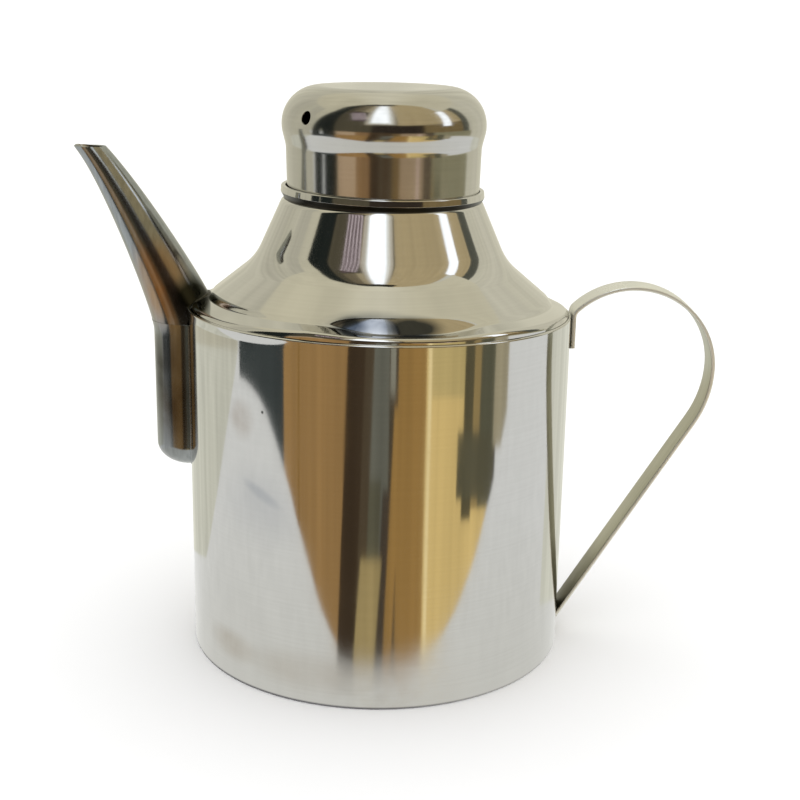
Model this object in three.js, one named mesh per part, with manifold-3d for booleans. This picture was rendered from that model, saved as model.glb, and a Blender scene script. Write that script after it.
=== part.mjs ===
// Stainless steel oil can: a rolled body with a pressed base and shoulder, a plug lid,
// a bent tapered spout over a half-round pocket, and a strap handle.
// Millimetres, +Z up. The origin is on the can's axis, on the surface that it stands on.
// The spout points along -X and the handle along +X.

import * as THREE from 'three';
import { mergeVertices } from 'three/addons/utils/BufferGeometryUtils.js';
import Module from 'manifold-3d';

// Sheet thicknesses and fits
const wallSheet = 0.6; // body wall and shoulder
const baseSheet = 0.8;
const collarSheet = 0.5;
const lidSheet = 0.5;
const spoutSheet = 0.6;
const weldGap = 0.3; // room for the weld between two joined pieces
const lidClearance = 0.3; // between the lid's skirt and the mouth, at the lip

// Body wall and base pan
const bodyRadius = 53;
const bodyHeight = 97.4;
const baseFlange = 5; // height of the base pan's upturned edge
const baseCornerRadius = 1.4;

// Shoulder, measured up from the top of the body wall
const rimRise = 1.8; // projected corner of the rim
const rimRadius = 1.8; // rounding where the flare turns down into the wall
const rimLap = 3; // how far the shoulder's edge drops inside the wall
const flareRise = 3.3; // the nearly flat flare, from the rim's corner to the lower cone
const flareWidth = 7.6;
const flareRadius = 14; // rounding between the flare and the lower cone
const kneeRise = 12.7;
const kneeRadius = 5; // rounding between the two cones
const upperConeRise = 15.2; // above the knee
const upperConeWidth = 7.05; // how much wider the shoulder is at the knee than at the top

// Mouth collar
const mouthRadius = 26.45; // inside of the collar
const collarDepth = 10; // from the lip down
const lipRise = 4.2; // lip above the top of the shoulder
const beadHeight = 3.5;
const beadProud = 0.75; // bead beyond the collar's tube
const beadRadius = 0.9; // rounding of the bead's outer edge
const lipRadius = 0.3; // rounding of the bead's other edges

// Lid cap
const skirtDepth = 10; // skirt below the collar's lip
const skirtTaper = 1; // degrees that the skirt's side leans out
const waistRise = 10.3; // waist above the lip
const waistRadius = 8; // rounding of the waist, seen from the side
const crownRise = 15.8; // crown's projected corner above the waist
const crownFlare = 3.5; // crown's projected corner beyond the waist
const crownRadius = 9.6; // rounding of the crown
const crownDome = 1.45; // rise of the top over its edge
const ventRadius = 1.75;
const ventRise = 9.2; // vent hole above the waist
const ventTurn = 43; // degrees from the spout's side towards the front

// Spout tube: a taper on a spine that leans away from the wall
const spoutOut = 0.75; // spout's axis outside the wall's face, at the joint with the pocket
const spoutJointDrop = 5.4; // joint with the pocket, below the top of the wall
const spoutRootRadius = 8.95;
const spoutTipRadius = 3.35;
const spoutReach = 26.1; // centre of the spout's mouth beyond the wall's face
const spoutRise = 41.8; // spout's mouth above the top of the wall
const spoutRootLean = 66.5; // degrees above level, at the joint
const spoutTipLean = 50; // degrees above level, at the mouth
const spoutRootPull = 25.5; // how far the root's direction holds along the spine
const spoutTipPull = 10.5; // how far the tip's direction holds along the spine
const spoutOverrun = 10; // straight run past each end, which the level cuts take away

// Spout pocket and oil port
const pocketRadius = 9.2;
const pocketLength = 41.9;
const pocketDome = 6.6; // height of the rounded foot
const portRadius = 5;
const portRise = 14; // centre of the oil port above the pocket's foot

// Handle strap, as a side view: tab, tight bend, loop, wide bend and straight run
const strapWidth = 9;
const strapThickness = 1.1;
const handleReach = 40.5; // middle of the strap beyond the wall's face, at its widest
const loopRadius = 22.9;
const loopDrop = 17.2; // loop's centre below the top of the wall
const tabLength = 8.6;
const tabBendRadius = 3;
const wideBendRadius = 30;
const footHeight = 6; // where the strap's foot meets the wall

// Facets
const roundSides = 60;
const spoutSides = 28;
const spoutRings = 14;
const filletSteps = 5;
const smallFillet = 1; // roundings up to this size take fewer steps
const smallFilletSteps = 2;
const domeSteps = 6;
const strapArcSteps = 7;
const mergeDistance = 1e-4; // vertices closer than this are one

// Levels and radii that several pieces share
const kneeLevel = bodyHeight + kneeRise;
const shoulderTop = kneeLevel + upperConeRise;
const lipLevel = shoulderTop + lipRise;
const collarRadius = mouthRadius + collarSheet;
const flangeRadius = bodyRadius - wallSheet - weldGap;
const spoutAxis = bodyRadius + spoutOut;
const spoutJoint = bodyHeight - spoutJointDrop;
const spoutMouth = bodyHeight + spoutRise;
const pocketFoot = spoutJoint - pocketLength;

const wasm = await Module();
wasm.setup();

const polishedSteel = new THREE.MeshStandardMaterial({ color: 0xc9c7c0, roughness: 0.12, metalness: 1 });
const satinSteel = new THREE.MeshStandardMaterial({ color: 0xbdbbb2, roughness: 0.3, metalness: 1 });

const radians = THREE.MathUtils.degToRad;

// Points along a line of corners, given as [radius, height, rounding]. A rounding is limited
// by the shorter of the two sides that it joins.
function filleted(corners) {
  const points = [];
  corners.forEach(([x, y, rounding = 0], i) => {
    const corner = new THREE.Vector2(x, y);
    if (rounding === 0) {
      points.push(corner);
      return;
    }
    const back = new THREE.Vector2(...corners[i - 1].slice(0, 2)).sub(corner);
    const ahead = new THREE.Vector2(...corners[i + 1].slice(0, 2)).sub(corner);
    const half = Math.acos(back.dot(ahead) / (back.length() * ahead.length())) / 2;
    const room = 0.5 * Math.min(back.length(), ahead.length());
    const reach = Math.min(rounding / Math.tan(half), room);
    const start = corner.clone().addScaledVector(back.normalize(), reach);
    const end = corner.clone().addScaledVector(ahead.normalize(), reach);
    const middle = back.add(ahead).normalize();
    const centre = corner.clone().addScaledVector(middle, reach / Math.cos(half));
    const from = start.clone().sub(centre);
    const turn = Math.atan2(from.cross(end.sub(centre)), from.dot(end));
    const steps = rounding > smallFillet ? filletSteps : smallFilletSteps;
    for (let step = 0; step <= steps; step += 1) {
      const point = from.clone().rotateAround(new THREE.Vector2(), (turn * step) / steps);
      points.push(point.add(centre));
    }
  });
  return points;
}

// The same line moved sideways, to the left of its own direction. Ends on the axis stay there.
function shifted(points, distance) {
  return points.map((point, i) => {
    const before = points[Math.max(i - 1, 0)];
    const after = points[Math.min(i + 1, points.length - 1)];
    const arriving = point.clone().sub(i > 0 ? before : point);
    const leaving = after.clone().sub(point);
    if (arriving.length() === 0) arriving.copy(leaving);
    if (leaving.length() === 0) leaving.copy(arriving);
    arriving.normalize();
    leaving.normalize();
    const along = arriving.clone().add(leaving).normalize();
    const left = new THREE.Vector2(-along.y, along.x);
    const moved = point.clone().addScaledVector(left, distance / along.dot(leaving));
    if (point.x === 0) moved.x = 0;
    return moved;
  });
}

// Outline of a sheet whose outer face follows the points upwards, closed on itself.
function sheetOutline(outer, thickness) {
  const inner = shifted(outer, thickness).reverse();
  return [...outer, ...inner, outer[0].clone()];
}

function revolve(profile, sides = roundSides) {
  const geometry = new THREE.LatheGeometry(profile, sides);
  geometry.rotateX(Math.PI / 2);
  return geometry;
}

// Shares the vertices that meet, and drops the slivers that a revolve leaves on its axis.
function welded(geometry) {
  const bare = geometry.clone();
  bare.deleteAttribute('normal');
  bare.deleteAttribute('uv');
  const merged = mergeVertices(bare, mergeDistance);
  const index = merged.index.array;
  const kept = [];
  for (let i = 0; i < index.length; i += 3) {
    const [a, b, c] = index.slice(i, i + 3);
    if (a !== b && b !== c && c !== a) kept.push(a, b, c);
  }
  merged.setIndex(kept);
  return merged;
}

function solidOf(geometry) {
  const merged = welded(geometry);
  const vertProperties = new Float32Array(merged.attributes.position.array);
  const triVerts = new Uint32Array(merged.index.array);
  return new wasm.Manifold(new wasm.Mesh({ numProp: 3, vertProperties, triVerts }));
}

function geometryOf(solid) {
  const { vertProperties, triVerts } = solid.getMesh();
  const geometry = new THREE.BufferGeometry();
  geometry.setAttribute('position', new THREE.BufferAttribute(new Float32Array(vertProperties), 3));
  geometry.setIndex(new THREE.BufferAttribute(new Uint32Array(triVerts), 1));
  geometry.computeVertexNormals();
  return geometry;
}

function pieceOf(name, geometry, material) {
  const mesh = new THREE.Mesh(geometry, material);
  mesh.name = name;
  return mesh;
}

// Round cutter from the can's axis outwards, for the oil port and the vent hole
function radialCutter(radius, length, turn, level) {
  const cutter = new THREE.CylinderGeometry(radius, radius, length, spoutSides);
  cutter.rotateZ(Math.PI / 2);
  cutter.translate(length / 2, 0, 0);
  cutter.rotateZ(turn);
  cutter.translate(0, 0, level);
  return solidOf(cutter);
}

// Outer face of the shoulder, from its edge inside the wall up to the collar
function shoulderFace() {
  const topRadius = collarRadius + weldGap + wallSheet;
  const rimLevel = bodyHeight + rimRise;
  return filleted([
    [flangeRadius, bodyHeight - rimLap],
    [flangeRadius, rimLevel, rimRadius],
    [flangeRadius - flareWidth, rimLevel + flareRise, flareRadius],
    [topRadius + upperConeWidth, kneeLevel, kneeRadius],
    [topRadius, shoulderTop],
  ]);
}

// The can's outside grown by the weld gap, which trims what is welded onto it
function weldEnvelope() {
  const wall = revolve([
    new THREE.Vector2(0, -weldGap),
    new THREE.Vector2(bodyRadius + weldGap, -weldGap),
    new THREE.Vector2(bodyRadius + weldGap, bodyHeight + weldGap),
    new THREE.Vector2(0, bodyHeight + weldGap),
  ]);
  const cone = shifted(shoulderFace(), -weldGap);
  const shoulder = revolve([
    new THREE.Vector2(0, cone[0].y),
    ...cone,
    new THREE.Vector2(0, cone[cone.length - 1].y),
  ]);
  return solidOf(wall).add(solidOf(shoulder));
}

function bodyWall() {
  const tube = revolve(sheetOutline([
    new THREE.Vector2(bodyRadius, 0),
    new THREE.Vector2(bodyRadius, bodyHeight),
  ], wallSheet));
  const port = radialCutter(portRadius, spoutAxis, Math.PI, pocketFoot + portRise);
  return pieceOf('body_wall', geometryOf(solidOf(tube).subtract(port)), polishedSteel);
}

function basePan() {
  const face = filleted([
    [0, 0],
    [flangeRadius, 0, baseCornerRadius],
    [flangeRadius, baseFlange],
  ]);
  const profile = [...face, ...shifted(face, baseSheet).reverse()];
  return pieceOf('base_pan', welded(revolve(profile)), satinSteel);
}

function shoulderCone() {
  return pieceOf('shoulder_cone', welded(revolve(sheetOutline(shoulderFace(), wallSheet))), polishedSteel);
}

function mouthCollar() {
  const beadFoot = lipLevel - beadHeight;
  const beadEdge = collarRadius + beadProud;
  const profile = filleted([
    [collarRadius, lipLevel - collarDepth],
    [collarRadius, beadFoot],
    [collarRadius + lipRadius, beadFoot, lipRadius / 2],
    [beadEdge, lipLevel - beadHeight / 2, beadRadius],
    [collarRadius + lipRadius, lipLevel, lipRadius / 2],
    [mouthRadius, lipLevel, lipRadius / 2],
    [mouthRadius, lipLevel - collarDepth],
    [collarRadius, lipLevel - collarDepth],
  ]);
  return pieceOf('mouth_collar', welded(revolve(profile)), polishedSteel);
}

function lidCap() {
  const skirtRadius = mouthRadius - lidClearance;
  const lean = Math.tan(radians(skirtTaper));
  const waistLevel = lipLevel + waistRise;
  const waist = skirtRadius + lean * waistRise;
  const crownLevel = waistLevel + crownRise;
  const face = filleted([
    [skirtRadius - lean * skirtDepth, lipLevel - skirtDepth],
    [waist, waistLevel, waistRadius],
    [waist + crownFlare, crownLevel, crownRadius],
    [0, crownLevel + crownDome],
  ]);
  const profile = [...shifted(face, lidSheet).reverse(), ...face];
  const vent = radialCutter(ventRadius, bodyRadius, Math.PI + radians(ventTurn), waistLevel + ventRise);
  return pieceOf('lid_cap', geometryOf(solidOf(revolve(profile)).subtract(vent)), polishedSteel);
}

// Spine of the spout in the can's middle plane, run on straight past both ends so that the
// joint and the mouth can be cut level
function spoutSpine() {
  const direction = (lean) => new THREE.Vector3(-Math.cos(radians(lean)), 0, Math.sin(radians(lean)));
  const root = new THREE.Vector3(-spoutAxis, 0, spoutJoint);
  const tip = new THREE.Vector3(-bodyRadius - spoutReach, 0, spoutMouth);
  const rootWay = direction(spoutRootLean);
  const tipWay = direction(spoutTipLean);
  const rootEnd = root.clone().addScaledVector(rootWay, -spoutOverrun);
  const tipEnd = tip.clone().addScaledVector(tipWay, spoutOverrun);
  const spine = new THREE.CurvePath();
  spine.add(new THREE.LineCurve3(rootEnd, root));
  spine.add(new THREE.CubicBezierCurve3(
    root,
    root.clone().addScaledVector(rootWay, spoutRootPull),
    tip.clone().addScaledVector(tipWay, -spoutTipPull),
    tip,
  ));
  spine.add(new THREE.LineCurve3(tip, tipEnd));
  return spine;
}

// A straight tapered tube, turned on its own axis and then carried onto the bent spine
function bentTaper(spine) {
  const lengths = spine.getCurveLengths();
  const whole = lengths[2];
  const taper = (spoutTipRadius - spoutRootRadius) / (lengths[1] - lengths[0]);
  const outer = [];
  for (let ring = 0; ring <= spoutRings; ring += 1) {
    const along = ring / spoutRings;
    const radius = spoutRootRadius + taper * (along * whole - lengths[0]);
    outer.push(new THREE.Vector2(radius, along));
  }
  const inner = outer.map((point) => new THREE.Vector2(point.x - spoutSheet, point.y)).reverse();
  const tube = new THREE.LatheGeometry([...outer, ...inner, outer[0]], spoutSides);
  const position = tube.attributes.position;
  const across = new THREE.Vector3(0, 1, 0);
  for (let i = 0; i < position.count; i += 1) {
    const along = position.getY(i);
    const side = spine.getTangentAt(along).cross(across);
    const point = spine.getPointAt(along);
    point.addScaledVector(side, position.getX(i));
    point.addScaledVector(across, position.getZ(i));
    position.setXYZ(i, point.x, point.y, point.z);
  }
  return tube;
}

// A block that takes away everything above or below a level around the spout
function levelCutter(level, way) {
  const size = 2 * (bodyRadius + spoutReach + spoutMouth);
  const block = new THREE.BoxGeometry(size, size, size);
  block.translate(-spoutAxis, 0, level + (way * size) / 2);
  return solidOf(block);
}

function spoutTube() {
  const tube = solidOf(bentTaper(spoutSpine()))
    .subtract(levelCutter(spoutMouth, 1))
    .subtract(levelCutter(spoutJoint + weldGap / 2, -1))
    .subtract(weldEnvelope());
  return pieceOf('spout_tube', geometryOf(tube), polishedSteel);
}

function spoutPocket() {
  const dome = (sheet) => {
    const points = [];
    for (let step = 0; step <= domeSteps; step += 1) {
      const angle = (step / domeSteps) * (Math.PI / 2);
      const out = step === 0 ? 0 : (pocketRadius - sheet) * Math.sin(angle);
      points.push(new THREE.Vector2(out, pocketFoot + pocketDome - (pocketDome - sheet) * Math.cos(angle)));
    }
    return points;
  };
  const top = spoutJoint - weldGap / 2;
  const profile = [
    ...dome(0),
    new THREE.Vector2(pocketRadius, top),
    new THREE.Vector2(pocketRadius - spoutSheet, top),
    ...dome(spoutSheet).reverse(),
  ];
  const cup = revolve(profile, spoutSides);
  cup.translate(-spoutAxis, 0, 0);
  return pieceOf('spout_pocket', geometryOf(solidOf(cup).subtract(weldEnvelope())), polishedSteel);
}

// Side view of one face of the strap, from the tab's end round to the foot. The offset is
// measured from the strap's middle, away from the hand.
function strapFace(offset) {
  const wallFace = bodyRadius + weldGap;
  const tab = wallFace + strapThickness / 2;
  const loopX = bodyRadius + handleReach - loopRadius;
  const loopZ = bodyHeight - loopDrop;
  const bendX = tab + tabBendRadius;
  const bendZ = loopZ + Math.sqrt((loopRadius - tabBendRadius) ** 2 - (loopX - bendX) ** 2);
  const bendEnd = Math.atan2(bendZ - loopZ, bendX - loopX);
  const wideX = loopX + loopRadius - wideBendRadius;
  const toFoot = new THREE.Vector2(wallFace - wideX, footHeight - loopZ);
  const wideEnd = toFoot.angle() - 2 * Math.PI + Math.acos(wideBendRadius / toFoot.length());
  const path = new THREE.Path();
  path.moveTo(tab - offset, bendZ - tabLength);
  path.lineTo(tab - offset, bendZ);
  path.absarc(bendX, bendZ, tabBendRadius + offset, Math.PI, bendEnd, true);
  path.absarc(loopX, loopZ, loopRadius + offset, bendEnd, 0, true);
  path.absarc(wideX, loopZ, wideBendRadius + offset, 0, wideEnd, true);
  const runLength = (path.currentPoint.x - wallFace) / -Math.sin(wideEnd);
  path.lineTo(wallFace, path.currentPoint.y - runLength * Math.cos(wideEnd));
  return path.getPoints(strapArcSteps);
}

function handleStrap() {
  const side = new THREE.Shape([...strapFace(strapThickness / 2), ...strapFace(-strapThickness / 2).reverse()]);
  const strap = new THREE.ExtrudeGeometry(side, { depth: strapWidth, bevelEnabled: false });
  strap.translate(0, 0, -strapWidth / 2);
  strap.rotateX(Math.PI / 2);
  return pieceOf('handle_strap', welded(strap), satinSteel);
}

const oilCan = new THREE.Group();
oilCan.add(
  bodyWall(),
  basePan(),
  shoulderCone(),
  mouthCollar(),
  lidCap(),
  spoutTube(),
  spoutPocket(),
  handleStrap(),
);

export default oilCan;
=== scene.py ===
# %% [markdown]
# # Stainless steel oil can
#
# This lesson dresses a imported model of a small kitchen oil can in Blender. The can is sheet
# metal: a rolled wall, a pressed base and shoulder, a mouth collar, a plug lid, a bent spout
# over a half-round pocket, and a strap handle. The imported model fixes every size. Here each
# piece is made again with finer roundings, real sheet edges and welds, because polished steel
# shows every facet.

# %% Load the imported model
import bisect
import math

import bmesh
import bpy
from mathutils import Matrix, Vector


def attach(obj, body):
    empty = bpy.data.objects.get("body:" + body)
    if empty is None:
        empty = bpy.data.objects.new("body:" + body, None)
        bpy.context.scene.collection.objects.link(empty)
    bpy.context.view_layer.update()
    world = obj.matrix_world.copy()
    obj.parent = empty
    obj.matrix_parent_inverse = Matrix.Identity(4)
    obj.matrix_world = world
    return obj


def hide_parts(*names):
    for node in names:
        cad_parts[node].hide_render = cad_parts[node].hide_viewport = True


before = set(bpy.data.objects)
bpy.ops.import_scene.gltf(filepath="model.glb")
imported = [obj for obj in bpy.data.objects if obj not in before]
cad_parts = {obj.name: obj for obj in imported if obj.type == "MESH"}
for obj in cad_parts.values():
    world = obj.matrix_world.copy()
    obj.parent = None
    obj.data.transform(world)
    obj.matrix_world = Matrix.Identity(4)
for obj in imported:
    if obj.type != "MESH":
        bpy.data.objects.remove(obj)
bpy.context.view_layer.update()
scene = bpy.context.scene
MM = 0.001
print("nodes:", sorted(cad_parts))

# %% [markdown]
# ## Skins from rows of points
#
# Every piece of this can is a skin: rows of points with the same number of points in each.
# A turned piece has one row for each point of its outline, a tube has one row for each station
# on its spine. One function joins neighbouring rows with four-sided faces. A modifier stack
# could do part of this, but rows keep the faces even, and even faces keep a mirror finish calm.

# %% Skin function
SHARP_ANGLE = math.radians(38)
WELD_DISTANCE = 1e-7


def skin(name, rows, wrap_rows=False, caps=False, inner_rows=()):
    """A smooth mesh piece from rows of points in millimetres. Inner rows take the second material."""
    count = len(rows[0])
    points = [Vector(point) * MM for row in rows for point in row]
    faces = []
    slots = []
    for i in range(len(rows) if wrap_rows else len(rows) - 1):
        here = i * count
        there = ((i + 1) % len(rows)) * count
        for j in range(count):
            k = (j + 1) % count
            faces.append((here + j, here + k, there + k, there + j))
            slots.append(1 if i in inner_rows else 0)
    if caps:
        faces.append(tuple(reversed(range(count))))
        faces.append(tuple(range(len(points) - count, len(points))))
        slots.extend((0, 0))
    mesh = bpy.data.meshes.new(name)
    mesh.from_pydata(points, [], faces)
    mesh.polygons.foreach_set("material_index", slots)
    shape = bmesh.new()
    shape.from_mesh(mesh)
    bmesh.ops.remove_doubles(shape, verts=shape.verts, dist=WELD_DISTANCE)
    bmesh.ops.recalc_face_normals(shape, faces=shape.faces)
    for face in shape.faces:
        face.smooth = True
    shape.to_mesh(mesh)
    shape.free()
    mesh.set_sharp_from_angle(angle=SHARP_ANGLE)
    piece = bpy.data.objects.new(name, mesh)
    scene.collection.objects.link(piece)
    print(f"{name}: {len(mesh.vertices)} points, {len(mesh.polygons)} faces")
    return piece


def fit_out(piece, body, slot, materials, *nodes):
    """Gives a piece its materials and its body, and hides the nodes that it stands for. Its slot is not
    used.
    """
    for material in materials:
        piece.data.materials.append(material)
    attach(piece, body)
    if nodes:
        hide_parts(*nodes)


# %% [markdown]
# ## Outlines of turned pieces
#
# The wall, base, shoulder, collar and lid are all turned about the can's axis, so each needs
# only half of its section. Corners are written as radius, height and rounding, as on a
# drawing. Each rounding becomes a fan of short steps, and a long straight side gets an extra
# row close to each of its ends. Without that row the smooth shading of a bend would leak far
# along the flat and bend the reflections there.

# %% Outline functions
TURN_STEP = math.radians(2.5)
FEWEST_STEPS = 3
SIDE_ROW = 0.25
SHARPEST_BEND = 0.3
AROUND = 224


def rounded(corners):
    """Points along corners given as (radius, height, rounding)."""
    points = []
    for i, (radius, height, *rounding) in enumerate(corners):
        corner = Vector((radius, height))
        if not rounding:
            points.append(corner)
            continue
        back = (Vector(corners[i - 1][:2]) - corner).normalized()
        ahead = (Vector(corners[i + 1][:2]) - corner).normalized()
        half = back.angle(ahead) / 2
        reach = rounding[0] / math.tan(half)
        start = corner + back * reach
        centre = corner + (back + ahead).normalized() * (reach / math.cos(half))
        arm = start - centre
        turn = math.pi - 2 * half
        side = math.copysign(1, back.x * ahead.y - back.y * ahead.x)
        steps = max(FEWEST_STEPS, math.ceil(turn / TURN_STEP))
        for step in range(steps + 1):
            angle = -side * turn * step / steps
            points.append(centre + Matrix.Rotation(angle, 2) @ arm)
    return points


def with_side_rows(points):
    """The same line with a point near each end of its long straight sides."""
    line = [points[0]]
    for before, after in zip(points, points[1:]):
        length = (after - before).length
        if length > 4 * SIDE_ROW:
            along = (after - before) / length
            line.append(before + along * SIDE_ROW)
            line.append(after - along * SIDE_ROW)
        line.append(after)
    return line


def moved_in(points, sheet):
    """The line moved to its left by the sheet's thickness. A point on the axis stays there."""
    line = []
    for i, point in enumerate(points):
        arriving = (point - points[i - 1]).normalized() if i else None
        leaving = (points[i + 1] - point).normalized() if i + 1 < len(points) else arriving
        along = (leaving + (arriving or leaving)).normalized()
        inward = Vector((-along.y, along.x)) / max(along.dot(leaving), SHARPEST_BEND)
        moved = point + inward * sheet
        line.append(Vector((0 if point.x < WELD_DISTANCE else moved.x, moved.y)))
    return line


def turned(name, outline, inner_rows=(), bent=None):
    """A piece turned about the can's axis, then bent by a function that moves each point."""
    rows = []
    for point in outline:
        row = []
        for j in range(AROUND):
            angle = 2 * math.pi * j / AROUND
            x = point.x * math.cos(angle)
            y = point.x * math.sin(angle)
            row.append(bent(x, y, point.y) if bent else (x, y, point.y))
        rows.append(row)
    return skin(name, rows, wrap_rows=True, inner_rows=inner_rows)


def turned_sheet(name, face, sheet, bent=None):
    """A turned piece of sheet metal. Its outer face runs upwards along the given corners."""
    outer = with_side_rows(rounded(face))
    inner = moved_in(outer, sheet)
    return turned(name, outer + inner[::-1], range(len(outer), 2 * len(outer) - 1), bent)


# %% [markdown]
# ## Colours and nodes
#
# Colours are written as sRGB hex values, the way a colour picker shows them, and turned to the
# linear values that shaders work with. One function adds a node with its settings and links.
# A few words on top of it, such as noise and blend, let each material below read as a list.

# %% Colour and node functions


def linear(code):
    """Linear RGBA from an sRGB hex value."""
    parts = [int(code[i:i + 2], 16) / 255 for i in (1, 3, 5)]
    return [c / 12.92 if c <= 0.04045 else ((c + 0.055) / 1.055) ** 2.4 for c in parts] + [1]


def feed(made, inputs):
    """Fills a node's inputs. Each gets a value, or another node's output to link."""
    for name, value in inputs.items():
        if isinstance(value, bpy.types.NodeSocket):
            made.id_data.links.new(value, made.inputs[name])
        else:
            made.inputs[name].default_value = value


def node(tree, kind, inputs=None, **settings):
    """A new node with its settings and inputs."""
    made = tree.nodes.new("ShaderNode" + kind)
    for name, value in settings.items():
        setattr(made, name, value)
    feed(made, inputs or {})
    return made


def new_material(name):
    """A material, its node tree, and the place of a point on the piece that wears it."""
    material = bpy.data.materials.new(name)
    material.use_nodes = True
    tree = material.node_tree
    return material, tree, node(tree, "TexCoord").outputs["Object"]


def noise(tree, place, size, detail):
    """Noise with marks of a size in millimetres."""
    made = node(tree, "TexNoise", {"Vector": place, "Scale": 1 / (size * MM), "Detail": detail})
    return made.outputs["Fac"]


def ranged(tree, value, given, wanted=(0.0, 1.0), kind="LINEAR"):
    """A value carried from one range to another and held there."""
    limits = {"From Min": given[0], "From Max": given[1], "To Min": wanted[0], "To Max": wanted[1]}
    return node(tree, "MapRange", {"Value": value, **limits}, interpolation_type=kind).outputs[0]


def blend(tree, share, first, second):
    """A colour between two others."""
    return node(tree, "Mix", {"Factor": share, 6: first, 7: second}, data_type="RGBA").outputs[2]


def scaled(tree, place, factors):
    """A place stretched along each direction."""
    return node(tree, "VectorMath", {0: place, 1: factors}, operation="MULTIPLY").outputs[0]


def length(tree, place):
    """How far a place lies from its zero point."""
    return node(tree, "VectorMath", {0: place}, operation="LENGTH").outputs["Value"]


# %% [markdown]
# ## Polished and brushed stainless steel
#
# All of the can is stainless sheet, a metal that mirrors a little more than half of the light.
# What differs is how each piece was finished. The wall, shoulder and lid were spun against a
# buffing wheel, which leaves fine lines around the axis. The spout was buffed along its
# length. The strap was only brushed, and the insides still have the dull mill finish.
#
# One function makes them all: fine lines from a stretched noise, slow waves from hand
# polishing, and faint smears that change the gloss. Real buffing lines lie about 0.05 mm
# apart, too fine to show, so they are drawn over ten times coarser and very shallow.

# %% Steel function
wave_size = 29.4
smear_size = 18.18
LINE_DRIFT = 0.02


def steel(name, tint, gloss, line_gap, line_height, wave_height, stretch=0.0, metal=1.0):
    """Stainless steel, its sizes in millimetres.

    With one gap the lines run around the can's axis, and stretch pulls highlights across them.
    With a gap for each direction, they run along the longest.
    """
    material, tree, place = new_material("stainless_steel_" + name)
    shader = tree.nodes["Principled BSDF"]
    if isinstance(line_gap, tuple):
        gap = min(line_gap)
        grain = scaled(tree, place, [gap / along for along in line_gap])
    else:
        gap = line_gap
        level = node(tree, "SeparateXYZ", {0: place}).outputs["Z"]
        from_axis = length(tree, scaled(tree, place, (1, 1, 0)))
        ringed = node(tree, "CombineXYZ", {0: from_axis, 1: level}).outputs[0]
        slow = scaled(tree, place, (LINE_DRIFT, LINE_DRIFT, 0))
        grain = node(tree, "VectorMath", {0: ringed, 1: slow}, operation="ADD").outputs[0]
    lines = noise(tree, grain, gap, 5.0)
    waves = noise(tree, place, wave_size, 1.5)
    smears = noise(tree, place, smear_size, 6.0)
    rough = ranged(tree, smears, (0.35, 0.75), gloss)
    tone = blend(tree, ranged(tree, lines, (0.3, 0.7)), linear(tint[0]), linear(tint[1]))
    rolled = node(tree, "Bump", {"Height": waves, "Strength": 1.0, "Distance": wave_height * MM})
    scored = node(tree, "Bump", {"Height": lines, "Strength": 1.0, "Distance": line_height * MM,
                                 "Normal": rolled.outputs[0]})
    feed(shader, {"Base Color": tone, "Roughness": rough, "Normal": scored.outputs[0], "Metallic": metal})
    if stretch:
        around = node(tree, "Tangent", direction_type="RADIAL", axis="Z").outputs[0]
        feed(shader, {"Anisotropic": stretch, "Tangent": around})
    print(material.name, "has roughness", gloss)
    return material


# %% Steel finishes
ring_gap = 0.6667
mill_gap = 1.4286
spout_gaps = (1.111, 1.111, 11.11)
strap_gaps = (16.67, 0.3846, 16.67)
# Buffed sheet is a clear mirror, a little stretched by the lines.
buffed_wall = steel("buffed_wall", ("#C9C8C4", "#CCCBC7"), (0.05, 0.09), ring_gap, 0.00006, 0.04, 0.5)
buffed_spun = steel("buffed_spun", ("#C9C8C4", "#CCCBC7"), (0.06, 0.10), ring_gap, 0.00012, 0.02, 0.5)
# The lid was buffed less, so its mirror is softer.
buffed_lid = steel("buffed_lid", ("#C0BFBA", "#C4C3BE"), (0.11, 0.16), ring_gap, 0.00012, 0.02, 0.4)
# The heat of the weld left the spout's mirror dark and cloudy.
buffed_spout = steel("buffed_spout", ("#8F9394", "#A0A4A5"), (0.15, 0.20), spout_gaps, 0.002, 0.03)
# Coarse brushing scatters light, so the strap is pale from all sides and not wholly a mirror.
brushed_strap = steel("brushed_strap", ("#D9D9CF", "#E6E6DC"), (0.26, 0.34), strap_gaps, 0.004, 0.02,
                      metal=0.72)
# Its inner face, turned to the wall, gets a greyer tint as painted shade.
strap_painted_shade = steel("strap_painted_shade", ("#B0AF9F", "#BEBDAD"), (0.28, 0.36), strap_gaps, 0.004, 0.02)
# The groove under the mouth's bead gets a near-black steel as painted shade.
groove_painted_shade = steel("painted_groove_shade", ("#24221D", "#343129"), (0.30, 0.40), mill_gap, 0.002, 0.03)
# The mill finish inside is an even grey without clear reflections.
mill_inside = steel("mill_finish", ("#A9A8A3", "#B5B4AF"), (0.30, 0.40), mill_gap, 0.002, 0.03)

# %% [markdown]
# ## Marks of use
#
# A can that was handled and set down often is not evenly bright. Its foot is scuffed by the
# shelf, greasy fingers leave soft grey and brown patches, and the weld's heat leaves orange
# and dark tints on the spout. Two marks are painted light: a painted contact shadow along the
# wall's foot, and painted reflection in the dent in front of the shoulder, which deepens the
# dark oval that the dent mirrors.
# Painted masks could hold all this, but they need images. So two small functions work it into
# the steels: one roughens the steel towards the foot, the other tints it around one point.

# %% Wear and smudge functions
scuff_size = 3.33
RAGGED_SHARE = 1.111


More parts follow.
